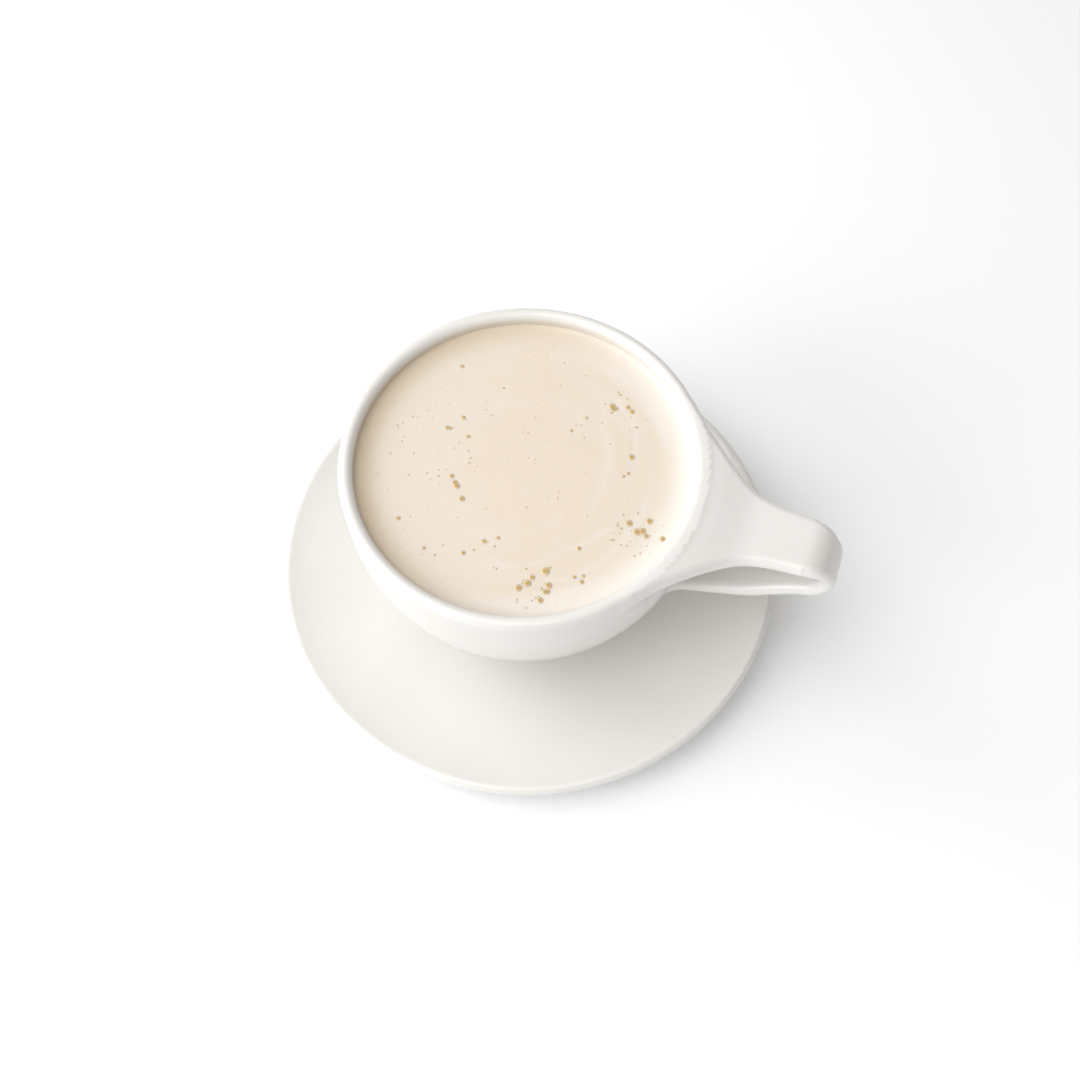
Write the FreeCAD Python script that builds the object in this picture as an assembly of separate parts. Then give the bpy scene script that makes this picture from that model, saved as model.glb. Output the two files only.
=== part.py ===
"""A cup of masala chai on its saucer.

The frame is +Z up, in millimetres. The origin is on the table, on the common axis of the cup and
the saucer, and +X runs from that axis along the handle. Three nodes are written:

    saucer  the dished plate, with a well for the cup and a foot ring to stand on
    cup     the bowl, its lip, its foot ring and its ribbon handle, fired as one piece
    chai    the drink, from the bottom of the bowl up to its level surface
"""
import FreeCAD, Part

import math
import os

from FreeCAD import Vector

# Cup
rim_radius = 50.0          # outside of the lip
cup_height = 65.5          # from the foot to the top of the lip
wall = 4.0                 # bowl wall, and the thickness of the fully rounded lip
upright = 10.0             # depth of the straight band under the rim
bowl_flat = 8.0            # radius of the level spot at the bottom of the bowl
bowl_lift = 4.0            # how far the underside of the bowl clears the foot
base_thickness = 5.0       # china under the drink, at the axis
foot_radius = 26.0         # outside of the foot ring
foot_ring_width = 3.6
foot_recess = 2.2          # depth of the hollow inside the foot ring
foot_blend = 9.0           # hollow curve between the foot ring and the bowl
foot_edge = 0.8            # rounding where the foot ring meets the saucer

# Handle: a flat ribbon that leaves the rim, turns at the tip and comes back to the bowl
handle_reach = 38.5        # from the outside of the lip to the tip
handle_drop = 2.5          # how far the ribbon's upper face lies under the top of the lip
handle_thickness = 4.6
handle_half_width = 7.9    # half the ribbon's width, from its middle to the tip and back
handle_flare_run = 12.5    # from the outside of the lip to where the spreading sides end
handle_flare_slope = 0.95  # how fast each side spreads towards the rim
handle_flare_softness = 6.3
handle_turn_radius = 7.8   # of the ribbon's middle line, at the tip
handle_root_drop = 38.2    # from the top of the lip down to the middle of the returning root
handle_root_flare = 2.2    # extra half width where the ribbon meets the bowl again
handle_root_run = 9.0
flare_overlap = 11.0       # how far the ribbon reaches in past the outside of the lip
run_sections = 9           # sections along the run out to the turn
turn_sections = 7          # sections that carry the ribbon round its tip
return_shares = (0.25, 0.5, 0.75, 0.88, 1.0)   # sections along the way back, root last

# Saucer
saucer_radius = 75.5
saucer_rim_height = 13.8   # top of the saucer's edge over the table
saucer_thickness = 4.4     # china under the well and the dished part
saucer_edge = 3.4          # thickness of the rounded edge
saucer_seat = 6.5          # height of the well's floor, where the cup stands
well_clearance = 3.0       # from the cup's foot ring to the side of the well
well_depth = 0.9
well_slope_run = 1.6       # width of the slope at the side of the well
dish_rise = 1.6            # how far the dished part climbs before its rim turns up
rim_band = 17.0            # width of the upturned rim
stand_radius = 43.0        # outside of the saucer's foot ring
stand_width = 4.0
stand_edge = 0.8

# Drink
headspace = 4.5            # from the level surface up to the top of the lip

# Derived heights
rim_z = saucer_seat + cup_height
shoulder_z = rim_z - upright
bowl_bottom_z = saucer_seat + bowl_lift
level_z = rim_z - headspace
bowl_depth = shoulder_z - bowl_bottom_z
inner_radius = rim_radius - wall
inner_depth = bowl_depth - base_thickness


def point(radius, z):
    """A point of a half profile, in the XZ plane."""
    return Vector(radius, 0, z)


def line(start, end):
    return Part.makeLine(start, end)


def revolve(edges):
    """The closed solid that a half profile sweeps around the Z axis."""
    face = Part.Face(Part.Wire(Part.__sortEdges__(edges)))
    return face.revolve(Vector(0, 0, 0), Vector(0, 0, 1), 360)


def bowl_curve(radius, depth):
    """The bowl's curve, between the edge of its level spot and the shoulder."""
    centre = point(bowl_flat, shoulder_z)
    side = point(radius, shoulder_z)
    bottom = point(bowl_flat, shoulder_z - depth)
    wide = radius - bowl_flat >= depth
    ellipse = Part.Ellipse(side, bottom, centre) if wide else Part.Ellipse(bottom, side, centre)
    return Part.Arc(ellipse, 0, math.pi / 2).toShape()


def bowl_height(radius, depth, at):
    """The height of that curve over the table, at one distance from the axis."""
    share = (at - bowl_flat) / (radius - bowl_flat)
    return shoulder_z - depth * math.sqrt(1 - share ** 2)


def ring_edges(shape, radius, z):
    """The edges of a solid that run round the axis at one radius and height."""
    found = []
    for edge in shape.Edges:
        places = edge.discretize(5)
        if all(abs(math.hypot(p.x, p.y) - radius) < 0.01 and abs(p.z - z) < 0.01 for p in places):
            found.append(edge)
    return found


def bowl_body():
    """The outside of the cup, solid, with its foot ring still a plain cylinder."""
    lip = wall / 2
    lip_centre_z = rim_z - lip
    crown = Part.Arc(point(rim_radius, lip_centre_z), point(rim_radius - lip, rim_z),
                     point(inner_radius, lip_centre_z)).toShape()
    bowl = revolve([
        bowl_curve(rim_radius, bowl_depth),
        line(point(rim_radius, shoulder_z), point(rim_radius, lip_centre_z)),
        crown,
        line(point(inner_radius, lip_centre_z), point(0, lip_centre_z)),
        line(point(0, lip_centre_z), point(0, bowl_bottom_z)),
        line(point(0, bowl_bottom_z), point(bowl_flat, bowl_bottom_z)),
    ])
    foot = Part.makeCylinder(foot_radius, bowl_lift + bowl_depth / 2, point(0, saucer_seat))
    body = bowl.fuse(foot)
    joint_z = bowl_height(rim_radius, bowl_depth, foot_radius)
    body = body.makeFillet(foot_blend, ring_edges(body, foot_radius, joint_z))
    return body.makeFillet(foot_edge, ring_edges(body, foot_radius, saucer_seat))


def bowl_cavity():
    """The space inside the bowl, up past the lip."""
    above = rim_z + wall
    floor = shoulder_z - inner_depth
    return revolve([
        bowl_curve(inner_radius, inner_depth),
        line(point(inner_radius, shoulder_z), point(inner_radius, above)),
        line(point(inner_radius, above), point(0, above)),
        line(point(0, above), point(0, floor)),
        line(point(0, floor), point(bowl_flat, floor)),
    ])


def outward(heading):
    """The direction of the ribbon's outer face where its middle line has one heading."""
    return Vector(-math.sin(heading), 0, math.cos(heading))


def ribbon_section(centre, heading, half_width, half_thickness):
    """One cross-section of the ribbon: flat above and below, round at both sides."""
    across = Vector(0, 1, 0)
    out = outward(heading)
    flat = half_width - half_thickness
    corners = []
    for side, face in ((1, 1), (-1, 1), (-1, -1), (1, -1)):
        corners.append(centre + across * (side * flat) + out * (face * half_thickness))
    left_end = Part.Arc(corners[1], centre - across * half_width, corners[2]).toShape()
    right_end = Part.Arc(corners[3], centre + across * half_width, corners[0]).toShape()
    return Part.Wire([line(corners[0], corners[1]), left_end,
                      line(corners[2], corners[3]), right_end])


def flare_half_width(x):
    """Half the ribbon's width on its way out: spread at the rim, easing into its plain width."""
    spread = handle_flare_slope * (rim_radius + handle_flare_run - x)
    return handle_half_width + (spread + math.hypot(spread, handle_flare_softness)) / 2


def root_half_width(left):
    """Half the ribbon's width at a distance from its root in the bowl's side."""
    share = min(left / handle_root_run, 1.0)
    return handle_half_width + handle_root_flare * (1 + math.cos(math.pi * share)) / 2


def root_centre():
    """Where the returning middle line ends, in the middle of the bowl's wall."""
    z = rim_z - handle_root_drop
    down = (shoulder_z - z) / (bowl_depth - wall / 2)
    across = rim_radius - wall / 2 - bowl_flat
    return Vector(bowl_flat + across * math.sqrt(1 - down ** 2), 0, z)


def way_back(turn_centre, root):
    """The heading and length of the straight run that leaves the turn for the root."""
    span = root - turn_centre
    length = math.sqrt(span.Length ** 2 - handle_turn_radius ** 2)
    heading = math.atan2(span.z, span.x) - math.atan2(handle_turn_radius, length)
    return heading, length


def handle():
    """The ribbon handle, from inside the rim out to its tip and back into the bowl's wall."""
    half = handle_thickness / 2
    run_z = rim_z - handle_drop - half
    turn_x = rim_radius + handle_reach - half - handle_turn_radius
    turn_centre = Vector(turn_x, 0, run_z - handle_turn_radius)
    last_heading, length = way_back(turn_centre, root_centre())
    sections = []

    flare_start = rim_radius - flare_overlap
    for index in range(run_sections):
        x = flare_start + (turn_x - flare_start) * index / run_sections
        sections.append(ribbon_section(Vector(x, 0, run_z), 0.0, flare_half_width(x), half))

    for index in range(turn_sections + 1):
        share = index / turn_sections
        heading = last_heading * share
        centre = turn_centre + outward(heading) * handle_turn_radius
        width = flare_half_width(turn_x) * (1 - share) + handle_half_width * share
        sections.append(ribbon_section(centre, heading, width, half))

    ahead = Vector(math.cos(heading), 0, math.sin(heading))
    for share in return_shares:
        width = root_half_width(length * (1 - share))
        sections.append(ribbon_section(centre + ahead * (length * share), heading, width, half))

    return Part.makeLoft(sections, True, False)


def make_cup():
    body = bowl_body().fuse(handle()).cut(bowl_cavity())
    hollow_radius = foot_radius - foot_ring_width
    hollow = Part.makeCylinder(hollow_radius, foot_recess, point(0, saucer_seat))
    return body.cut(hollow).removeSplitter()


def make_chai():
    top = Part.makeCylinder(rim_radius, rim_z, point(0, level_z))
    return bowl_cavity().cut(top)


def make_saucer():
    well_radius = foot_radius + well_clearance
    well_top = saucer_seat + well_depth
    turn_radius = saucer_radius - rim_band
    turn_z = well_top + dish_rise
    edge = saucer_edge / 2
    edge_centre = point(saucer_radius - edge, saucer_rim_height - edge)
    under_z = saucer_seat - saucer_thickness
    inner_stand = stand_radius - stand_width

    top_dish = Part.BezierCurve()
    top_dish.setPoles([
        point(well_radius + well_slope_run, well_top),
        point(well_radius + 0.45 * (turn_radius - well_radius), well_top + 0.25 * dish_rise),
        point(turn_radius + 0.25 * rim_band, turn_z + 0.1 * (saucer_rim_height - turn_z)),
        point(saucer_radius - edge, saucer_rim_height),
    ])
    nose = Part.Arc(point(saucer_radius - edge, saucer_rim_height),
                    point(saucer_radius, edge_centre.z),
                    point(saucer_radius - edge, saucer_rim_height - saucer_edge)).toShape()
    under_dish = Part.BezierCurve()
    under_dish.setPoles([
        point(saucer_radius - edge, saucer_rim_height - saucer_edge),
        point(turn_radius + 0.35 * rim_band, turn_z - saucer_thickness + 0.1 * rim_band),
        point(stand_radius + 0.4 * (turn_radius - stand_radius), turn_z - saucer_thickness),
        point(stand_radius, well_top - saucer_thickness),
    ])
    profile = [
        line(point(0, saucer_seat), point(well_radius, saucer_seat)),
        line(point(well_radius, saucer_seat), point(well_radius + well_slope_run, well_top)),
        top_dish.toShape(),
        nose,
        under_dish.toShape(),
        line(point(stand_radius, well_top - saucer_thickness), point(stand_radius, 0)),
        line(point(stand_radius, 0), point(inner_stand, 0)),
        line(point(inner_stand, 0), point(inner_stand, under_z)),
        line(point(inner_stand, under_z), point(0, under_z)),
        line(point(0, under_z), point(0, saucer_seat)),
    ]
    body = revolve(profile)
    rounded = ring_edges(body, stand_radius, 0) + ring_edges(body, inner_stand, 0)
    return body.makeFillet(stand_edge, rounded)


def main():
    os.makedirs("parts", exist_ok=True)
    nodes = {"saucer": make_saucer(), "cup": make_cup(), "chai": make_chai()}
    for name, shape in nodes.items():
        shape.exportStep(os.path.join("parts", name + ".step"))
        print(f"{name}: {len(shape.Solids)} solid, valid {shape.isValid()}, "
              f"{shape.Volume / 1000:.1f} ml, box {shape.BoundBox}")


main()
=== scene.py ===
import math

import bpy
import numpy as np
from mathutils import Matrix, Vector


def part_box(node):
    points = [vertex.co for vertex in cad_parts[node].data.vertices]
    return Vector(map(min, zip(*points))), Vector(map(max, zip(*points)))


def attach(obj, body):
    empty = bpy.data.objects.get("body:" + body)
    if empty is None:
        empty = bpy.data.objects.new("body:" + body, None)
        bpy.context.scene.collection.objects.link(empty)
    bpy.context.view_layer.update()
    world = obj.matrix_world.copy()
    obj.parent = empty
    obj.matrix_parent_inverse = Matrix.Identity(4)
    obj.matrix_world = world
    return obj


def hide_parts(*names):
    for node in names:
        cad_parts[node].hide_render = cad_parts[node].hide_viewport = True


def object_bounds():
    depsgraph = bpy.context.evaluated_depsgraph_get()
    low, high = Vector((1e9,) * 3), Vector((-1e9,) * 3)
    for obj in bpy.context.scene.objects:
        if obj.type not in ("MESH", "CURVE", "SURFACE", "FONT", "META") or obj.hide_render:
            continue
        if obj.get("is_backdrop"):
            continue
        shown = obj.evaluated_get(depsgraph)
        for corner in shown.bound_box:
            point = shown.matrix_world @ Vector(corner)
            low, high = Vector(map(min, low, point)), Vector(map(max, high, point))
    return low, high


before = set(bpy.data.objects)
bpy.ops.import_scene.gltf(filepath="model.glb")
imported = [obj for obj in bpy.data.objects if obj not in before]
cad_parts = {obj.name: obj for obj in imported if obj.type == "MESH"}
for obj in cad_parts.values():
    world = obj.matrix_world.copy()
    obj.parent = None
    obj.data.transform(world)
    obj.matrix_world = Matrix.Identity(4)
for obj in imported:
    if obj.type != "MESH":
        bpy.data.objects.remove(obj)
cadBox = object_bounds()

mm = 0.001  # shapes are worked out in millimetres and made in metres


def millimetres(value):
    return round(value * 1000, 1)


cupLow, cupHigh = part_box("cup")
chaiLow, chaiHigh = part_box("chai")
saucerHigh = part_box("saucer")[1]
rimHeight = millimetres(cupHigh.z)
rimRadius = millimetres(cupHigh.y)
handleTip = millimetres(cupHigh.x)
seatHeight = millimetres(cupLow.z)
teaLevel = millimetres(chaiHigh.z)
hollowRadius = millimetres(chaiHigh.y)
hollowFloor = millimetres(chaiLow.z)
saucerRadius = millimetres(saucerHigh.x)
saucerRim = millimetres(saucerHigh.z)
wall = rimRadius - hollowRadius
print("frame: rim", rimRadius, "at", rimHeight, "tea at", teaLevel, "saucer", saucerRadius)


class Value:
    # one output of a node; arithmetic on it adds Math nodes to its tree
    def __init__(self, tree, node, output):
        self.tree = tree
        self.node = node
        self.socket = node.outputs[output] if node.outputs else None

    def other(self, output):
        return Value(self.tree, self.node, output)

    def math(self, operation, first, second=None):
        sockets = {0: first} if second is None else {0: first, 1: second}
        return self.tree.make("ShaderNodeMath", {"operation": operation}, sockets)

    def __add__(self, other):
        return self.math("ADD", self, other)

    def __radd__(self, other):
        return self.math("ADD", other, self)

    def __sub__(self, other):
        return self.math("SUBTRACT", self, other)

    def __rsub__(self, other):
        return self.math("SUBTRACT", other, self)

    def __mul__(self, other):
        return self.math("MULTIPLY", self, other)

    def __rmul__(self, other):
        return self.math("MULTIPLY", other, self)

    def __truediv__(self, other):
        return self.math("DIVIDE", self, other)

    def __rtruediv__(self, other):
        return self.math("DIVIDE", other, self)

    def __pow__(self, other):
        return self.math("POWER", self, other)


class Tree:
    # adds nodes of any kind to a material's, a world's or a modifier's tree
    def __init__(self, nodeTree):
        self.nodeTree = nodeTree

    def make(self, kind, settings=None, sockets=None, output=0):
        node = self.nodeTree.nodes.new(kind)
        for name, value in (settings or {}).items():
            if name == "stops":
                self.setStops(node.color_ramp, value)
            else:
                setattr(node, name, value)
        for key, value in (sockets or {}).items():
            self.feed(node, key, value)
        return Value(self, node, output)

    def feed(self, node, key, value):
        socket = node.inputs[key] if isinstance(key, int) else self.named(node, key)
        if isinstance(value, Value):
            self.nodeTree.links.new(value.socket, socket)
        else:
            socket.default_value = value

    def named(self, node, key):
        for socket in node.inputs:
            if socket.identifier == key:
                return socket
        return node.inputs[key]

    def setStops(self, ramp, stops):
        while len(ramp.elements) < len(stops):
            ramp.elements.new(1.0)
        for element, (place, colour) in zip(ramp.elements, stops):
            element.position = place
            element.color = colour


def blended(tree, share, first, second):
    # from the first colour at 0 to the second at 1; the Mix node has one result for each kind of data
    sockets = {"Factor_Float": share, "A_Color": first, "B_Color": second}
    mixed = tree.make("ShaderNodeMix", {"data_type": "RGBA"}, sockets)
    names = [socket.identifier for socket in mixed.node.outputs]
    return mixed.other(names.index("Result_Color"))


def noise(tree, place, scale, detail=3.0, roughness=0.5, distortion=0.0):
    sockets = {"Vector": place, "Scale": scale, "Detail": detail, "Roughness": roughness,
               "Distortion": distortion}
    return tree.make("ShaderNodeTexNoise", {}, sockets)


def ramp(tree, value, stops, interpolation="EASE"):
    node = tree.make("ShaderNodeValToRGB", {"stops": stops}, {"Fac": value})
    node.node.color_ramp.interpolation = interpolation
    return node


def greyRamp(tree, value, low, high):
    # 0 below low, 1 above high, smooth between
    sockets = {"Value": value, "From Min": low, "From Max": high, "To Min": 0.0, "To Max": 1.0}
    return tree.make("ShaderNodeMapRange", {"interpolation_type": "SMOOTHSTEP"}, sockets)


def newMaterial(name, constants):
    # a Principled material; constants go straight on to its own sockets
    material = bpy.data.materials.new(name)
    material.use_nodes = True
    material.node_tree.nodes.clear()
    tree = Tree(material.node_tree)
    surface = tree.make("ShaderNodeBsdfPrincipled", {}, constants)
    tree.make("ShaderNodeOutputMaterial", {}, {"Surface": surface})
    place = tree.make("ShaderNodeTexCoord", {}, {}, "Object")
    return material, tree, surface.node, place


def roundTheCup(tree, place, facing):
    # distance from the upright axis and height in millimetres, a share that is 1 towards the facing
    # angle and 0 on the other side, then X and Y in millimetres
    parts = tree.make("ShaderNodeSeparateXYZ", {}, {0: place})
    x, y, z = parts * 1000, parts.other("Y") * 1000, parts.other("Z") * 1000
    reach = (x * x + y * y + 0.0001) ** 0.5
    turn = math.radians(facing)
    towards = (x * math.cos(turn) + y * math.sin(turn)) / reach
    return reach, z, towards * 0.5 + 0.5, x, y


glaze = {
    "white": (0.742, 0.728, 0.702, 1.0),
    "cream": (0.722, 0.703, 0.672, 1.0),
    "speck": (0.52, 0.46, 0.38, 1.0),
    "cloudScale": 26.0,       # soft changes of tone, per metre
    "rippleScale": 160.0,     # the faint orange peel of a fired glaze
    "rippleDepth": 0.00001,
    "rippleStrength": 0.6,
    "speckScale": 240.0,
    "rareScale": 70.0,        # where the specks lie
    "speckStrength": 0.5,
    "dullScale": 55.0,
    "smooth": 0.2,            # roughness, from the smoothest places to the dullest
    "dull": 0.3,
}

wallFilmAndPaintedShade = {
    # the film's tone on the side away from the lamps is a painted shade, and on the lit side a painted
    # light
    "paintedShade": (0.600, 0.490, 0.355, 1.0),
    "paintedLight": (0.760, 0.715, 0.640, 1.0),
    "top": 4.0,             # height of the wetted band over the tea
    "strength": 0.85,
    "litSide": -8.0,      # degrees from the handle, towards the side the lamps light, where the film is painted paler as painted light
    "edgeScale": 60.0,
    "edgeWander": 1.6,      # how far the film's upper edge wanders, in millimetres
}


def wetWallAndPaintedShade(tree, place, colour):
    # a thin film of tea clings to the inside of the cup just over the tea; its tone is also painted shade,
    # darker and warmer on the side away from the lamps, and painted light, paler on the lit side
    reach, height, share = roundTheCup(tree, place, wallFilmAndPaintedShade["litSide"])[:3]
    wander = wallFilmAndPaintedShade["edgeWander"]
    uneven = noise(tree, place, wallFilmAndPaintedShade["edgeScale"], 2.0) * wander - wander / 2
    drained = greyRamp(tree, height + uneven, teaLevel - 0.5, teaLevel + wallFilmAndPaintedShade["top"])
    within = 1.0 - greyRamp(tree, reach, hollowRadius + 0.9, hollowRadius + 1.9)
    within = within * greyRamp(tree, height, teaLevel - 4.0, teaLevel - 2.0)
    # painted shade on the side away from the lamps, blending to painted light on the lit side
    tone = blended(tree, greyRamp(tree, share, 0.25, 0.85), wallFilmAndPaintedShade["paintedShade"], wallFilmAndPaintedShade["paintedLight"])
    return blended(tree, (1.0 - drained) * within * wallFilmAndPaintedShade["strength"], colour, tone)


def glazeFinish(name, shift, film=False):
    constants = {"IOR": 1.5, "Coat Weight": 0.3, "Coat Roughness": 0.12, "Subsurface Weight": 0.12,
                 "Subsurface Radius": (0.0016, 0.0013, 0.0010), "Subsurface Scale": 1.0}
    material, tree, surface, place = newMaterial(name, constants)
    moved = tree.make("ShaderNodeMapping", {}, {"Vector": place, "Location": (shift, shift / 2, 0.0)})
    cloud = noise(tree, moved, glaze["cloudScale"], 2.0)
    colour = blended(tree, greyRamp(tree, cloud, 0.35, 0.7), glaze["white"], glaze["cream"])
    cells = tree.make("ShaderNodeTexVoronoi", {"feature": "F1"},
                      {"Vector": moved, "Scale": glaze["speckScale"]})
    rare = greyRamp(tree, noise(tree, moved, glaze["rareScale"], 1.0), 0.66, 0.7)
    speck = (1.0 - greyRamp(tree, cells, 0.04, 0.09)) * rare * glaze["speckStrength"]
    colour = blended(tree, speck, colour, glaze["speck"])
    # the tea film on the inner wall, with its painted shade and painted light
    if film:
        colour = wetWallAndPaintedShade(tree, place, colour)
    tree.feed(surface, "Base Color", colour)
    patchy = noise(tree, moved, glaze["dullScale"], 4.0, 0.6)
    tree.feed(surface, "Roughness", patchy * (glaze["dull"] - glaze["smooth"]) + glaze["smooth"])
    ripple = noise(tree, moved, glaze["rippleScale"], 2.0)
    sockets = {"Height": ripple, "Strength": glaze["rippleStrength"], "Distance": glaze["rippleDepth"]}
    tree.feed(surface, "Normal", tree.make("ShaderNodeBump", {}, sockets))
    return material


tea = {
    "milky": (0.719, 0.643, 0.558, 1.0),
    "rosy": (0.724, 0.627, 0.528, 1.0),
    "sandy": (0.722, 0.628, 0.500, 1.0),
    "skin": (0.753, 0.690, 0.621, 1.0),
    "pit": (0.526, 0.428, 0.302, 1.0),
    # a painted shade along the tea's edge away from the lamps, where the wall shades it, and a painted
    # light along the edge on the lit side
    "paintedShadeEdge": (0.670, 0.567, 0.427, 1.0),
    "paintedLightEdge": (0.810, 0.770, 0.715, 1.0),
    "litSide": -8.0,      # degrees from the handle, towards the side the lamps light, where the tea's edge gets painted light
    "swirlScale": 48.0,
    "ragged": 34.0,         # how far the patches' edges wander, in millimetres
    # softly darker patches: tone, place, half width, strength
    "patches": [("rosy", (3, 1), 21, 0.8), ("rosy", (-3, 22), 13, 0.7), ("sandy", (-9, 30), 9, 0.6),
                ("rosy", (14, -20), 12, 0.6)],
    "arcScale": 0.19,       # streaks that follow the stirring, per millimetre
    "arcWanderScale": 40.0,
    "arcWander": 0.9,
    "calm": (14.0, 26.0),   # the streaks begin between these distances from the middle
    "frothScale": 75.0,
    "frothStrength": 0.4,
    "pitScale": 480.0,
    "pitPatchScale": 85.0,
    "pitStrength": 0.45,
    "paintedShadeFrom": 37.0,       # where the painted shade and the painted light along the edge begin, from the middle
    "paintedLightFrom": 35.5,
    "paintedLightStrength": 0.85,
    "roughness": 0.2,
    "rippleDepth": 0.00006,
}


def teaFinish():
    constants = {"IOR": 1.34, "Subsurface Weight": 0.35, "Subsurface Scale": 1.0,
                 "Subsurface Radius": (0.0020, 0.0016, 0.0012)}
    material, tree, surface, place = newMaterial("milkyTea", constants)
    reach, _, share, x, y = roundTheCup(tree, place, tea["litSide"])
    drift = noise(tree, place, tea["swirlScale"], 3.0, 0.55, 1.2)
    base = tea["milky"]
    for tone, (patchX, patchY), size, strength in tea["patches"]:
        away = ((x - patchX) ** 2.0 + (y - patchY) ** 2.0) ** 0.5 + (drift - 0.5) * tea["ragged"]
        inside = 1.0 - greyRamp(tree, away, size - 2.5, size + 1.0)
        base = blended(tree, inside * strength, base, tea[tone])
    wander = noise(tree, place, tea["arcWanderScale"], 2.0) * tea["arcWander"]
    sockets = {"X": reach * tea["arcScale"] + wander, "Y": x / reach * 0.8, "Z": y / reach * 0.8}
    arcs = noise(tree, tree.make("ShaderNodeCombineXYZ", {}, sockets), 1.6, 4.0, 0.55)
    stirred = greyRamp(tree, reach, *tea["calm"]) * greyRamp(tree, share, 0.3, 0.8)
    base = blended(tree, greyRamp(tree, arcs, 0.50, 0.60) * stirred * 0.6, base, tea["sandy"])
    base = blended(tree, (1.0 - greyRamp(tree, arcs, 0.40, 0.47)) * stirred * 0.5, base, tea["skin"])
    foam = greyRamp(tree, noise(tree, place, tea["frothScale"], 5.0, 0.62, 1.4), 0.55, 0.75)
    foam = foam * tea["frothStrength"]
    base = blended(tree, foam, base, tea["skin"])
    cells = tree.make("ShaderNodeTexVoronoi", {"feature": "F1"},
                      {"Vector": place, "Scale": tea["pitScale"]})
    here = greyRamp(tree, noise(tree, place, tea["pitPatchScale"], 2.0), 0.5, 0.65)
    pits = (1.0 - greyRamp(tree, cells, 0.05, 0.22)) * here
    base = blended(tree, pits * tea["pitStrength"], base, tea["pit"])
    # painted shade: the tea's edge darker and warmer on the side away from the lamps; painted light: the
    # edge paler on the lit side
    paintedShade = greyRamp(tree, reach, tea["paintedShadeFrom"], hollowRadius)
    paintedShade = paintedShade * (1.0 - greyRamp(tree, share, 0.1, 0.7))
    paintedLight = greyRamp(tree, reach, tea["paintedLightFrom"], hollowRadius - 1.5)
    paintedLight = paintedLight * greyRamp(tree, share, 0.4, 0.9)
    base = blended(tree, paintedShade, base, tea["paintedShadeEdge"])
    base = blended(tree, paintedLight * tea["paintedLightStrength"], base, tea["paintedLightEdge"])
    tree.feed(surface, "Base Color", base)
    tree.feed(surface, "Roughness", arcs * 0.1 + foam * 0.12 + (tea["roughness"] - 0.05))
    sockets = {"Height": arcs * 0.6 + foam * 0.5 - pits * 0.8, "Strength": 0.5,
               "Distance": tea["rippleDepth"]}
    tree.feed(surface, "Normal", tree.make("ShaderNodeBump", {}, sockets))
    return material


bubbleFilm = {
    "middle": (0.430, 0.290, 0.120, 1.0),
    "amber": (0.560, 0.400, 0.190, 1.0),
    "edge": (0.680, 0.570, 0.410, 1.0),
    "halo": (0.720, 0.640, 0.530, 1.0),
    "grain": 1500.0,
    "grainShare": 0.2,      # how much the grain shifts the tones
    "grainDepth": 0.00002,
}


def bubbleFinish():
    constants = {"IOR": 1.25, "Roughness": 0.4, "Subsurface Weight": 0.2, "Subsurface Scale": 1.0,
                 "Subsurface Radius": (0.0008, 0.0006, 0.0004)}
    material, tree, surface, place = newMaterial("bubbleFilm", constants)
    reach = tree.make("ShaderNodeAttribute", {"attribute_name": "reach"}, {}, "Fac")
    stops = [(0.0, bubbleFilm["middle"]), (0.5, bubbleFilm["amber"]), (0.78, bubbleFilm["edge"]),
             (1.0, bubbleFilm["halo"])]
    grain = noise(tree, place, bubbleFilm["grain"], 2.0)
    shift = bubbleFilm["grainShare"]
    colour = ramp(tree, reach + grain * shift - shift / 2, stops)
    tree.feed(surface, "Base Color", colour)
    sockets = {"Height": grain, "Strength": 0.3, "Distance": bubbleFilm["grainDepth"]}
    tree.feed(surface, "Normal", tree.make("ShaderNodeBump", {}, sockets))
    return material


class Modifier(Tree):
    # a Geometry Nodes tree with named inputs, run once on a mesh
    def __init__(self, name, inputs):
        group = bpy.data.node_groups.new(name, "GeometryNodeTree")
        super().__init__(group)
        group.interface.new_socket("Geometry", in_out="INPUT", socket_type="NodeSocketGeometry")
        self.keys = {}
        for label, (kind, value) in inputs.items():
            made = group.interface.new_socket(label, in_out="INPUT", socket_type="NodeSocket" + kind)
            self.keys[label] = (made.identifier, value)
        group.interface.new_socket("Geometry", in_out="OUTPUT", socket_type="NodeSocketGeometry")
        self.start = self.make("NodeGroupInput", {}, {}, "Geometry")

    def input(self, label):
        return self.start.other(label)

    def finish(self, geometry, material):
        smooth = self.make("GeometryNodeSetShadeSmooth", {}, {"Geometry": geometry})
        real = self.make("GeometryNodeRealizeInstances", {}, {"Geometry": smooth})
        coated = self.make("GeometryNodeSetMaterial", {}, {"Geometry": real, "Material": material})
        self.make("NodeGroupOutput", {}, {"Geometry": coated})

    def run(self, name, mesh):
        # the result as a plain mesh object
        source = bpy.data.objects.new(name + "Source", mesh)
        bpy.context.scene.collection.objects.link(source)
        modifier = source.modifiers.new(name, "NODES")
        modifier.node_group = self.nodeTree
        for identifier, value in self.keys.values():
            modifier[identifier] = value
        graph = bpy.context.evaluated_depsgraph_get()
        made = bpy.data.meshes.new_from_object(source.evaluated_get(graph), depsgraph=graph)
        bpy.data.objects.remove(source)
        piece = bpy.data.objects.new(name, made)
        bpy.context.scene.collection.objects.link(piece)
        return piece


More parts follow.
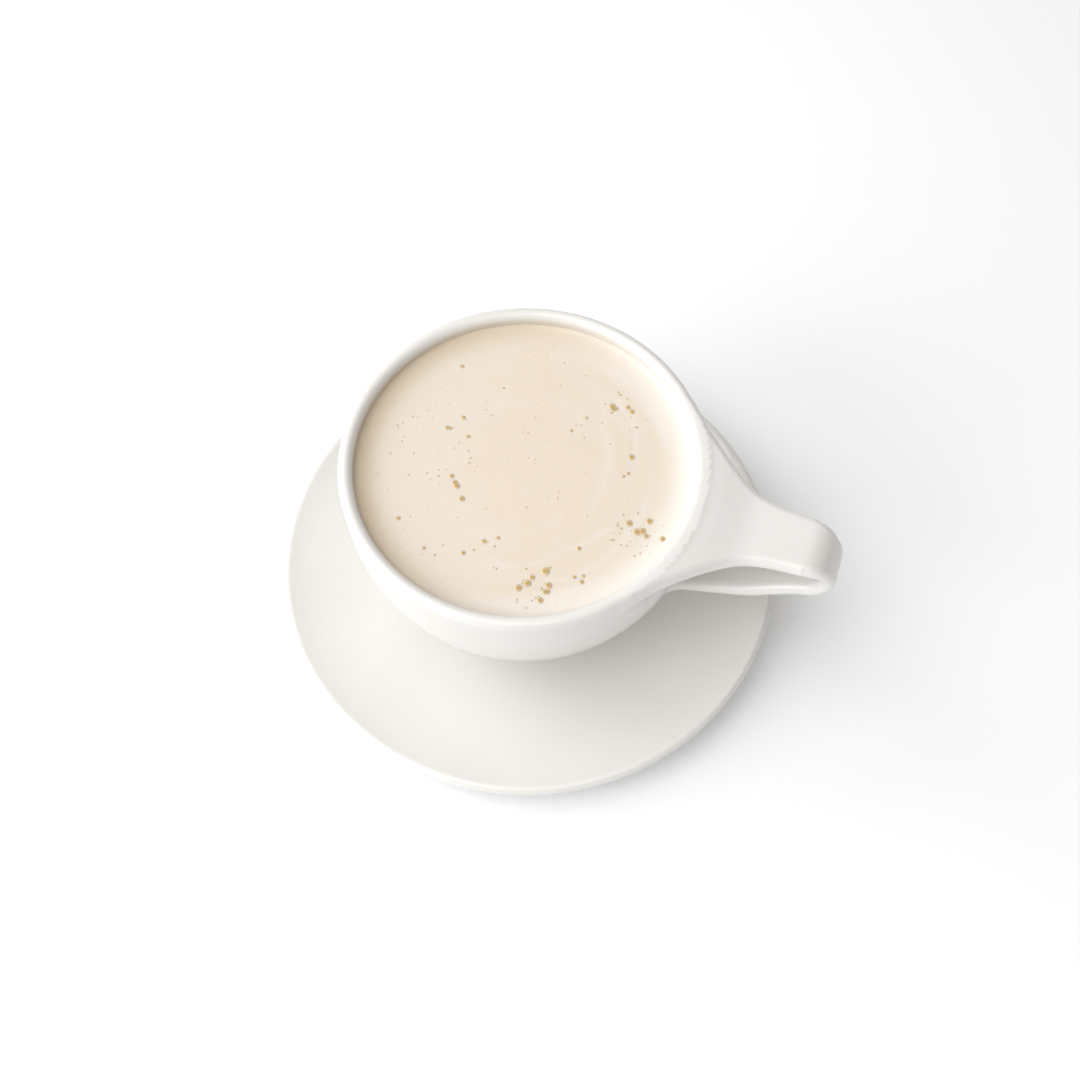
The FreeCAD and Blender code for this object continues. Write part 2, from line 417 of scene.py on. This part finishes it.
def turned(name, profile, turns, material):
    # a closed piece with a half profile carried round the upright axis; the profile runs from
    # the axis under the piece, out and up, and back to the axis on top
    mesh = bpy.data.meshes.new(name + "Profile")
    points = [(r * mm, 0.0, z * mm) for r, z in profile]
    mesh.from_pydata(points, [(i, i + 1) for i in range(len(points) - 1)], [])
    lathe = Modifier(name + "Lathe", {"Turns": ("Int", turns)})
    counted = lathe.make("GeometryNodeAttributeDomainSize", {}, {"Geometry": lathe.start})
    sockets = {"Size X": 1.0, "Size Y": 1.0, "Vertices X": lathe.input("Turns") + 1,
               "Vertices Y": counted}
    sheet = lathe.make("GeometryNodeMeshGrid", {}, sockets)
    place = lathe.make("GeometryNodeInputPosition")
    flat = lathe.make("ShaderNodeSeparateXYZ", {}, {0: place})
    step = lathe.make("ShaderNodeMath", {"operation": "ROUND"},
                      {0: (flat.other("Y") + 0.5) * (counted - 1)})
    sampled = lathe.make("GeometryNodeSampleIndex", {"data_type": "FLOAT_VECTOR"},
                         {"Geometry": lathe.start, "Value": place, "Index": step})
    onProfile = lathe.make("ShaderNodeSeparateXYZ", {}, {0: sampled})
    angle = (flat + 0.5) * (2 * math.pi)
    radius = onProfile.other("X")
    sockets = {"X": radius * angle.math("COSINE", angle), "Y": radius * angle.math("SINE", angle),
               "Z": onProfile.other("Z")}
    spun = lathe.make("ShaderNodeCombineXYZ", {}, sockets)
    shaped = lathe.make("GeometryNodeSetPosition", {}, {"Geometry": sheet, "Position": spun})
    closed = lathe.make("GeometryNodeMergeByDistance", {}, {"Geometry": shaped, "Distance": 1e-6})
    lathe.finish(closed, material)
    return lathe.run(name, mesh)


def bezier(poles, steps):
    # points along a curve with four poles, without its last one
    p0, p1, p2, p3 = [np.array(p) for p in poles]
    for t in np.linspace(0, 1, steps, endpoint=False):
        yield tuple((1-t)**3 * p0 + 3*t*(1-t)**2 * p1 + 3*t*t*(1-t) * p2 + t**3 * p3)


def arc(centre, radius, start, end, steps):
    for angle in np.radians(np.linspace(start, end, steps)):
        yield (centre[0] + radius * math.cos(angle), centre[1] + radius * math.sin(angle))


saucer = {
    "thickness": 4.4,
    "edge": 3.4,
    "wellRadius": 29.0,
    "wellDepth": 0.9,
    "wellSlope": 1.6,
    "dishRise": 1.6,
    "rimBand": 17.0,
    "standRadius": 43.0,
    "standWidth": 4.0,
    "standEdge": 0.8,
    "turns": 224,
}


def straight(start, end, steps):
    for share in np.linspace(0, 1, steps, endpoint=False):
        yield (start[0] + (end[0] - start[0]) * share, start[1] + (end[1] - start[1]) * share)


def saucerProfile():
    s = saucer
    floor = seatHeight
    top = floor + s["wellDepth"]
    turn = saucerRadius - s["rimBand"]
    turnHeight = top + s["dishRise"]
    half = s["edge"] / 2
    noseRadius = saucerRadius - half
    under = floor - s["thickness"]
    outer = s["standRadius"]
    inner = outer - s["standWidth"]
    corner = s["standEdge"]
    wellTop = (s["wellRadius"] + s["wellSlope"], top)
    points = list(straight((0, under), (inner, under), 8))
    points += straight((inner, under), (inner, corner), 3)
    points += arc((inner + corner, corner), corner, 180, 270, 5)
    points += arc((outer - corner, corner), corner, 270, 360, 5)
    points += bezier([(outer, corner), (outer, top - s["thickness"] - 1.5),
                      (outer + 0.6, top - s["thickness"]),
                      (outer + 3.0, top - s["thickness"] + 0.25)], 8)
    points += bezier([(outer + 3.0, top - s["thickness"] + 0.25),
                      (outer + 0.4 * (turn - outer), turnHeight - s["thickness"]),
                      (turn + 0.35 * s["rimBand"], turnHeight - s["thickness"] + 0.1 * s["rimBand"]),
                      (noseRadius, saucerRim - s["edge"])], 24)
    points += arc((noseRadius, saucerRim - half), half, 270, 450, 13)
    points += list(bezier([(noseRadius, saucerRim),
                           (turn + 0.25 * s["rimBand"], turnHeight + 0.1 * (saucerRim - turnHeight)),
                           (s["wellRadius"] + 0.45 * (turn - s["wellRadius"]), top + 0.25 * s["dishRise"]),
                           wellTop], 40))[1:]
    points += bezier([wellTop, (wellTop[0] - 0.8, top), (s["wellRadius"] + 0.7, floor),
                      (s["wellRadius"] - 0.6, floor)], 8)
    points += straight((s["wellRadius"] - 0.6, floor), (0, floor), 8)
    points.append((0, floor))
    return points


cup = {
    "upright": 10.0,        # straight band under the rim
    "bowlFlat": 8.0,
    "bowlLift": 4.0,
    "footRadius": 26.0,
    "footRing": 3.6,
    "footRecess": 2.2,
    "footBlend": 9.0,
    "footEdge": 0.8,
    "recessEdge": 0.6,      # rounding inside the foot's recess, and where it meets the foot
    "recessLip": 0.7,
    "ribbonDrop": 2.5,      # upper face of the handle, under the rim
    "ribbonThick": 4.6,
    "ribbonHalf": 7.9,
    "ribbonEdge": 2.25,     # rounding along the ribbon's edges
    "lift": 2.3,            # the upper face climbs this much to meet the lip
    "liftRun": 17.0,
    "tipRun": 20.0,
    "tipPull": 2.4,         # how much slimmer the ribbon is at its outermost point
    "tipSwell": 0.4,        # how much wider it is as it enters the turn
    "flareRun": 12.5,
    "flareSlope": 0.95,
    "flareSoftness": 6.3,
    "turnRadius": 7.8,
    "rootDrop": 38.2,
    "rootFlare": 2.2,
    "rootRun": 9.0,
    "overlap": 11.0,
    "melt": 7.0,            # how softly the handle flows into the bowl
    "meltAtLip": 2.8,
    "cell": 0.85,           # spacing of the points that the skin is made from
    "margin": 2.3,
    "relaxRounds": 3,
}
shoulder = rimHeight - cup["upright"]
bowlDepth = shoulder - seatHeight - cup["bowlLift"]
hollowDepth = shoulder - hollowFloor


def softUnion(first, second, reach):
    near = np.maximum(reach - np.abs(first - second), 0) / reach
    return np.minimum(first, second) - near ** 3 * reach / 6


def filletUnion(first, second, radius):
    inner = np.hypot(np.maximum(radius - first, 0), np.maximum(radius - second, 0))
    return np.maximum(radius, np.minimum(first, second)) - inner


def roundedCut(first, second, radius):
    # what is inside both, with the corner between them rounded
    outer = np.hypot(np.maximum(first + radius, 0), np.maximum(second + radius, 0))
    return np.minimum(-radius, np.maximum(first, second)) + outer


def bowlField(reach, height, radius, depth):
    # distance from the bowl's curve, below the shoulder: minus inside
    across = radius - cup["bowlFlat"]
    side = np.maximum(reach - cup["bowlFlat"], 0) / across
    down = (shoulder - height) / depth
    size = np.maximum(np.hypot(side, down), 1e-3)
    slope = np.hypot(side / across, down / depth) / size
    return (size - 1) / slope


def bodyField(reach, height):
    # the cup's outside, solid, with its foot
    lip = wall / 2
    over = np.maximum(height - rimHeight + lip, 0)
    band = np.hypot(np.maximum(reach - rimRadius + lip, 0), over) - lip
    bowl = np.where(height < shoulder, bowlField(reach, height, rimRadius, bowlDepth), band)
    foot = roundedCut(reach - cup["footRadius"], seatHeight - height, cup["footEdge"])
    foot = np.maximum(foot, height - shoulder)
    return filletUnion(bowl, foot, cup["footBlend"])


def hollowField(reach, height):
    # everything but the hollow inside the bowl, with the lip's round top
    lip = wall / 2
    over = np.maximum(height - rimHeight + lip, 0)
    band = np.hypot(np.minimum(reach - rimRadius + lip, 0), over) - lip
    below = -bowlField(reach, height, hollowRadius, hollowDepth)
    return np.where(height < shoulder, below, band)


def ribbonRoute():
    # the middle line of the handle, seen from the side: a run out, a turn and a way back
    half = cup["ribbonThick"] / 2
    runHeight = rimHeight - cup["ribbonDrop"] - half
    turn = np.array([handleTip - half - cup["turnRadius"], runHeight - cup["turnRadius"]])
    rootHeight = rimHeight - cup["rootDrop"]
    down = (shoulder - rootHeight) / (bowlDepth - wall / 2)
    across = rimRadius - wall / 2 - cup["bowlFlat"]
    root = np.array([cup["bowlFlat"] + across * math.sqrt(1 - down ** 2), rootHeight])
    span = root - turn
    length = math.sqrt(span @ span - cup["turnRadius"] ** 2)
    heading = math.atan2(span[1], span[0]) - math.atan2(cup["turnRadius"], length)
    return runHeight, turn, heading, length


def ribbonSide(across, halfWidth, slope, offset):
    # a bar's rounded section, from how far off its middle line a point is
    edge = cup["ribbonEdge"]
    wide = (np.abs(across) - halfWidth) / np.sqrt(1 + slope ** 2) + edge
    thick = np.abs(offset) - cup["ribbonThick"] / 2 + edge
    outside = np.hypot(np.maximum(wide, 0), np.maximum(thick, 0))
    return outside + np.minimum(np.maximum(wide, thick), 0) - edge


def ribbonField(points):
    x, across, z = points.T
    runHeight, turn, heading, length = ribbonRoute()
    start = rimRadius - cup["overlap"]

    onRun = np.clip(x, start, turn[0])
    spread = cup["flareSlope"] * (rimRadius + cup["flareRun"] - onRun)
    size = np.hypot(spread, cup["flareSoftness"])
    half = cup["ribbonHalf"] + (spread + size) / 2
    slope = -cup["flareSlope"] * (1 + spread / size) / 2
    gone = np.clip((np.hypot(x, across) - rimRadius + wall / 2) / cup["liftRun"], 0, 1)
    middle = runHeight + cup["lift"] * (1 + np.cos(math.pi * gone)) / 2
    run = ribbonSide(across, half, slope, np.hypot(x - onRun, z - middle))

    aside, above = x - turn[0], z - turn[1]
    angle = np.arctan2(above, aside)
    within = (angle <= math.pi / 2) & (angle >= heading + math.pi / 2)
    outermost = np.where(angle > 0, np.cos(angle), 1)
    tipHalf = cup["ribbonHalf"] + cup["tipSwell"] - cup["tipPull"] * outermost ** 2
    tipSlope = cup["tipPull"] * 2 * outermost * np.sqrt(1 - outermost ** 2) / cup["turnRadius"]
    bend = ribbonSide(across, tipHalf, tipSlope, np.hypot(aside, above) - cup["turnRadius"])
    bend = np.where(within, bend, 1e3)

    ahead = np.array([math.cos(heading), math.sin(heading)])
    out = np.array([-ahead[1], ahead[0]])
    begin = turn + out * cup["turnRadius"]
    along = (x - begin[0]) * ahead[0] + (z - begin[1]) * ahead[1]
    off = (x - begin[0]) * out[0] + (z - begin[1]) * out[1]
    held = np.clip(along, 0, length)
    share = np.clip((length - held) / cup["rootRun"], 0, 1)
    recovered = np.clip(held / cup["tipRun"], 0, 1)
    half = cup["ribbonHalf"] + cup["rootFlare"] * (1 + np.cos(math.pi * share)) / 2
    half = half - (cup["tipPull"] - cup["tipSwell"]) * (1 + np.cos(math.pi * recovered)) / 2
    back = ribbonSide(across, half, 0.0, np.hypot(along - held, off))
    return np.minimum(np.minimum(run, bend), back)


def cupField(points):
    # distance to the cup's surface in millimetres, roughly: minus inside the china
    reach = np.hypot(points[:, 0], points[:, 1])
    height = points[:, 2]
    nearLip = np.clip((height - shoulder) / (rimHeight - shoulder - 2), 0, 1)
    melt = cup["melt"] + (cup["meltAtLip"] - cup["melt"]) * nearLip ** 2
    whole = softUnion(bodyField(reach, height), ribbonField(points), melt)
    china = np.maximum(whole, hollowField(reach, height))
    recess = roundedCut(reach - cup["footRadius"] + cup["footRing"],
                        height - seatHeight - cup["footRecess"], cup["recessEdge"])
    return roundedCut(china, -recess, cup["recessLip"])


def fieldSlope(field, points, step=0.02):
    slope = np.empty_like(points)
    for axis in range(3):
        shift = np.zeros(3)
        shift[axis] = step
        slope[:, axis] = (field(points + shift) - field(points - shift)) / (2 * step)
    return slope


def settle(field, points, rounds):
    # brings points on to the surface
    for _ in range(rounds):
        slope = fieldSlope(field, points)
        size = np.maximum((slope ** 2).sum(axis=1), 0.05)
        points = points - slope * (field(points) / size)[:, None]
    return points


def surfaceNet(field, low, high, cell):
    # a closed skin of quads where the field is zero, with one point in each cell that it crosses
    counts = np.ceil((high - low) / cell).astype(int) + 1
    axes = [low[i] + cell * np.arange(counts[i]) for i in range(3)]
    grid = np.stack(np.meshgrid(*axes, indexing="ij"), axis=-1)
    values = field(grid.reshape(-1, 3)).reshape(counts)
    inside = values < 0
    cells = counts - 1
    corners = [(i, j, k) for i in (0, 1) for j in (0, 1) for k in (0, 1)]

    def window(array, corner):
        return array[tuple(slice(c, c + n) for c, n in zip(corner, cells))]

    filled = sum(window(inside, corner).astype(int) for corner in corners)
    crossed = (filled > 0) & (filled < 8)
    number = np.full(cells, -1)
    number[crossed] = np.arange(crossed.sum())
    total = np.zeros((crossed.sum(), 3))
    hits = np.zeros(crossed.sum())
    for corner in corners:
        for axis in range(3):
            if corner[axis]:
                continue
            far = tuple(1 if i == axis else c for i, c in enumerate(corner))
            a, b = window(values, corner)[crossed], window(values, far)[crossed]
            cuts = (a < 0) != (b < 0)
            place = np.tile(np.array(corner, float), (len(a), 1))
            place[cuts, axis] = a[cuts] / (a[cuts] - b[cuts])
            total[cuts] += place[cuts]
            hits += cuts
    points = low + cell * (np.argwhere(crossed) + total / hits[:, None])

    quads = []
    for axis in range(3):
        e, f = (axis + 1) % 3, (axis + 2) % 3
        near = [slice(1, -1)] * 3
        near[axis] = slice(0, -1)
        far = list(near)
        far[axis] = slice(1, None)
        a, b = inside[tuple(near)], inside[tuple(far)]
        base = np.argwhere(a != b)
        leaving = a[a != b]
        stepE, stepF = np.eye(3, dtype=int)[e], np.eye(3, dtype=int)[f]
        loop = [number[tuple((base + s).T)] for s in (0 * stepE, stepE, stepE + stepF, stepF)]
        loop = np.stack(loop, axis=1)
        loop[~leaving] = loop[~leaving][:, ::-1]
        quads.append(loop)
    return points, np.concatenate(quads)


def relax(points, quads, share=0.5):
    # moves each point part of the way to the middle of its quads
    middles = points[quads].mean(axis=1)
    total = np.zeros_like(points)
    count = np.zeros(len(points))
    for column in range(4):
        np.add.at(total, quads[:, column], middles)
        np.add.at(count, quads[:, column], 1)
    return points * (1 - share) + total / count[:, None] * share


def makeCup(material):
    low = np.array([-rimRadius, -rimRadius, seatHeight]) - cup["margin"]
    high = np.array([handleTip, rimRadius, rimHeight]) + cup["margin"]
    points, quads = surfaceNet(cupField, low, high, cup["cell"])
    points = settle(cupField, points, 2)
    for _ in range(cup["relaxRounds"]):
        points = settle(cupField, relax(points, quads), 2)
    normals = fieldSlope(cupField, points)
    normals /= np.linalg.norm(normals, axis=1)[:, None]
    mesh = bpy.data.meshes.new("glazedCup")
    mesh.from_pydata((points * mm).tolist(), [], quads.tolist())
    mesh.shade_smooth()
    mesh.normals_split_custom_set_from_vertices(normals.tolist())
    mesh.materials.append(material)
    piece = bpy.data.objects.new("glazedCup", mesh)
    bpy.context.scene.collection.objects.link(piece)
    return piece


chai = {
    "intoWall": 0.3,
    "meniscusRise": 0.9,
    "meniscusReach": 1.1,
    "edgeRun": 7.0,         # the closely spaced rings at the wall
    "edgeSpacing": 1.6,
    "turns": 192,
}


def chaiProfile():
    c = chai
    radius = hollowRadius + c["intoWall"]
    depth = hollowDepth + c["intoWall"]
    across = radius - cup["bowlFlat"]
    points = list(straight((0, shoulder - depth), (cup["bowlFlat"], shoulder - depth), 4))
    for angle in np.linspace(0, math.pi / 2, 40):
        points.append((cup["bowlFlat"] + across * math.sin(angle), shoulder - depth * math.cos(angle)))
    reaches = radius - c["edgeRun"] * np.linspace(0, 1, 22) ** c["edgeSpacing"]
    for reach in reaches:
        rise = c["meniscusRise"] * math.exp(-max(hollowRadius - reach, 0) / c["meniscusReach"])
        points.append((reach, teaLevel + rise))
    last = reaches[-1]
    for share in np.linspace(0, 1, 40)[1:]:
        points.append((last * (1 - share), teaLevel))
    return points


# groups of bubbles, scattered by chance: degrees round from the handle, millimetres from the
# middle, how far they spread, how many, and half the width of the largest
froth = {
    "at the handle": (-15, 38, 5.5, 6, 1.4),
    "near side": (-65, 37, 5.5, 8, 1.4),
    "beside it": (-50, 36, 3.0, 3, 1.2),
    "far side": (50, 31, 3.5, 5, 1.2),
    "towards the handle": (15, 30, 6.0, 3, 1.1),
    "left of the middle": (165, 21, 4.0, 4, 0.9),
    "near left": (-140, 19, 5.0, 4, 1.1),
    "near the lip": (-95, 27, 6.0, 4, 0.9),
    "strays": (0, 0, 40.0, 9, 0.8),
}
# finer ones between them
fineFroth = {
    "all over": (180, 6, 36.0, 46, 0.34),
    "on the left": (180, 24, 14.0, 34, 0.38),
    "by the handle": (-15, 37, 8.0, 22, 0.42),
    "near side": (-65, 37, 7.0, 16, 0.42),
    "far side": (50, 32, 7.0, 12, 0.4),
}
bubble = {
    "segments": 12,
    "rings": 5,
    "flatness": 0.22,
    "sunk": 0.06,           # how deep its middle lies, as a share of half its width
    "smallest": 0.45,       # half width of the smallest in a group, as a share of the largest
    "seed": 7,
    "clearOfWall": 1.6,
}


def makeFroth(material):
    mesh = bpy.data.meshes.new("frothPlaces")
    rows = list(froth.values()) + list(fineFroth.values())
    places = []
    for row in rows:
        turn = math.radians(row[0])
        places.append((row[1] * math.cos(turn) * mm, row[1] * math.sin(turn) * mm, teaLevel * mm))
    mesh.from_pydata(places, [], [])
    for index, (label, kind) in enumerate((("spread", "FLOAT"), ("count", "INT"), ("largest", "FLOAT"))):
        attribute = mesh.attributes.new(label, kind, "POINT")
        for point, values in zip(attribute.data, rows):
            value = values[2 + index]
            point.value = value if kind == "INT" else value * mm

    inputs = {"Segments": ("Int", bubble["segments"]), "Rings": ("Int", bubble["rings"]),
              "Flatness": ("Float", bubble["flatness"]), "Sunk": ("Float", bubble["sunk"]),
              "Smallest": ("Float", bubble["smallest"]), "Seed": ("Int", bubble["seed"]),
              "Farthest": ("Float", (hollowRadius - bubble["clearOfWall"]) * mm)}
    maker = Modifier("frothMaker", inputs)

    def attribute(label, kind):
        return maker.make("GeometryNodeInputNamedAttribute", {"data_type": kind}, {"Name": label})

    def chance(low, high, salt):
        sockets = {"Min_001": low, "Max_001": high, "Seed": maker.input("Seed") + salt}
        return maker.make("FunctionNodeRandomValue", {"data_type": "FLOAT"}, sockets, 1)

    copies = maker.make("GeometryNodeDuplicateElements", {"domain": "POINT"},
                        {"Geometry": maker.start, "Amount": attribute("count", "INT")})
    turn = chance(0.0, 2 * math.pi, 1)
    away = chance(0.0, 1.0, 2) ** 0.5 * attribute("spread", "FLOAT")
    sockets = {"X": away * turn.math("COSINE", turn), "Y": away * turn.math("SINE", turn)}
    offset = maker.make("ShaderNodeCombineXYZ", {}, sockets)
    spread = maker.make("GeometryNodeSetPosition", {}, {"Geometry": copies, "Offset": offset})
    place = maker.make("GeometryNodeInputPosition")
    parts = maker.make("ShaderNodeSeparateXYZ", {}, {0: place})
    reach = (parts * parts + parts.other("Y") * parts.other("Y")) ** 0.5
    held = reach.math("MINIMUM", maker.input("Farthest") / reach, 1.0)
    sockets = {"X": parts * held, "Y": parts.other("Y") * held, "Z": parts.other("Z")}
    inside = maker.make("ShaderNodeCombineXYZ", {}, sockets)
    kept = maker.make("GeometryNodeSetPosition", {}, {"Geometry": spread, "Position": inside})

    ball = maker.make("GeometryNodeMeshUVSphere", {},
                      {"Segments": maker.input("Segments"), "Rings": maker.input("Rings"), "Radius": 1.0})
    local = maker.make("ShaderNodeSeparateXYZ", {}, {0: maker.make("GeometryNodeInputPosition")})
    middle = (local * local + local.other("Y") * local.other("Y")) ** 0.5
    marked = maker.make("GeometryNodeStoreNamedAttribute", {"data_type": "FLOAT", "domain": "POINT"},
                        {"Geometry": ball, "Name": "reach", "Value": middle})
    size = maker.make("ShaderNodeCombineXYZ", {}, {"X": 1.0, "Y": 1.0, "Z": maker.input("Flatness")})
    down = maker.make("ShaderNodeCombineXYZ", {}, {"Z": 0.0 - maker.input("Sunk")})
    cap = maker.make("GeometryNodeTransform", {}, {"Geometry": marked, "Translation": down, "Scale": size})
    share = maker.input("Smallest") + chance(0.0, 1.0, 3) * (1.0 - maker.input("Smallest"))
    grown = share * attribute("largest", "FLOAT")
    placed = maker.make("GeometryNodeInstanceOnPoints", {},
                        {"Points": kept, "Instance": cap, "Scale": grown})
    maker.finish(placed, material)
    return maker.run("froth", mesh)


def finishPiece(piece, node):
    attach(piece, "root")
    if node:
        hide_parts(node)
    print(piece.name, len(piece.data.polygons), "faces")


saucerPiece = turned("glazedSaucer", saucerProfile(), saucer["turns"], glazeFinish("saucerGlaze", 0.3))
finishPiece(saucerPiece, "saucer")
cupPiece = makeCup(glazeFinish("cupGlaze", 0.0, True))
finishPiece(cupPiece, "cup")
chaiPiece = turned("milkyTea", chaiProfile(), chai["turns"], teaFinish())
finishPiece(chaiPiece, "chai")
frothPiece = makeFroth(bubbleFinish())
finishPiece(frothPiece, None)


stage = {
    "floorSize": 6.0,
    "floorTone": (0.922, 0.934, 0.944, 1.0),
    "cloudTone": 0.985,     # the floor's darker clouds, as a share of its tone
    "roomTone": (1.0, 0.970, 0.945, 1.0),
    "roomStrength": 0.54,
    "darkEnd": (0.200, 0.150, 0.120, 1.0),   # the far end of the room, off to the right
}
windowTone = (0.98, 0.99, 1.0)
# degrees round from the right of the view, degrees up, watts
lamps = {
    "windowNear": {"round": 212, "up": 29, "power": 5.0},
    "windowMiddle": {"round": 182, "up": 26, "power": 2.0},
    "windowFar": {"round": 150, "up": 28, "power": 3.9},
    "overhead": {"round": 185, "up": 68, "power": 3.4},
    "nearTop": {"round": 270, "up": 68, "power": 1.8},
}
lampSize = 0.75
lampDistance = 1.1
view = {
    "azimuth": 21.8,
    "elevation": 64.45,
    "distance": 0.4123,
    "aim": (-0.0005, 0.0119, 0.0),
    "roll": -1.94,
    "lens": 43.3,
}


def makeFloor():
    mesh = bpy.data.meshes.new("floor")
    half = stage["floorSize"] / 2
    corners = [(-half, -half, 0), (half, -half, 0), (half, half, 0), (-half, half, 0)]
    mesh.from_pydata(corners, [], [(0, 1, 2, 3)])
    floor = bpy.data.objects.new("floor", mesh)
    bpy.context.scene.collection.objects.link(floor)
    material, tree, surface, place = newMaterial("paleFloor", {"Roughness": 0.9, "Specular IOR Level": 0.1})
    cloud = noise(tree, place, 4.0, 3.0)
    tone = stage["floorTone"]
    deeper = tuple(stage["cloudTone"] * t for t in tone[:3]) + (1.0,)
    tree.feed(surface, "Base Color", blended(tree, cloud, tone, deeper))
    mesh.materials.append(material)
    floor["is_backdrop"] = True


def makeWorld():
    world = bpy.data.worlds.new("studio")
    bpy.context.scene.world = world
    world.use_nodes = True
    world.node_tree.nodes.clear()
    tree = Tree(world.node_tree)
    turn = math.radians(view["azimuth"])
    heading = tree.make("ShaderNodeTexCoord")
    towards = tree.make("ShaderNodeVectorMath", {"operation": "DOT_PRODUCT"},
                        {0: heading, 1: (math.cos(turn), math.sin(turn), -0.15)}, "Value")
    tone = blended(tree, greyRamp(tree, towards, 0.5, 0.9), stage["roomTone"], stage["darkEnd"])
    room = tree.make("ShaderNodeBackground", {}, {"Color": tone, "Strength": stage["roomStrength"]})
    tree.make("ShaderNodeOutputWorld", {}, {"Surface": room})


def makeLamp(name, lamp):
    light = bpy.data.lights.new(name, "AREA")
    light.shape = "DISK"
    light.size = lampSize
    light.energy = lamp["power"]
    light.color = windowTone
    turn = math.radians(lamp["round"] + view["azimuth"])
    up = math.radians(lamp["up"])
    away = Vector((math.cos(up) * math.cos(turn), math.cos(up) * math.sin(turn), math.sin(up)))
    holder = bpy.data.objects.new(name, light)
    holder.location = away * lampDistance
    holder.rotation_euler = away.to_track_quat("Z", "Y").to_euler()
    bpy.context.scene.collection.objects.link(holder)


def makeCamera():
    turn = math.radians(view["azimuth"])
    up = math.radians(view["elevation"])
    away = Vector((math.sin(turn) * math.cos(up), -math.cos(turn) * math.cos(up), math.sin(up)))
    place = away * view["distance"]
    ahead = (Vector(view["aim"]) - place).normalized()
    side = ahead.cross(Vector((0, 0, 1))).normalized()
    above = side.cross(ahead)
    roll = math.radians(view["roll"])
    right = side * math.cos(roll) + above * math.sin(roll)
    top = above * math.cos(roll) - side * math.sin(roll)
    data = bpy.data.cameras.new("camera")
    data.lens = view["lens"]
    data.sensor_width = 36.0
    data.clip_start = 0.01
    camera = bpy.data.objects.new("camera", data)
    facing = Matrix((right, top, -ahead)).transposed()
    camera.matrix_world = Matrix.Translation(place) @ facing.to_4x4()
    bpy.context.scene.collection.objects.link(camera)
    bpy.context.scene.camera = camera


makeFloor()
makeWorld()
for name, lamp in lamps.items():
    makeLamp(name, lamp)
makeCamera()
bpy.context.scene.view_settings.view_transform = "Standard"
print("stage ready")

boxes = {"cad": cadBox, "visual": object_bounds()}
{name: [list(corner) for corner in box] for name, box in boxes.items()}
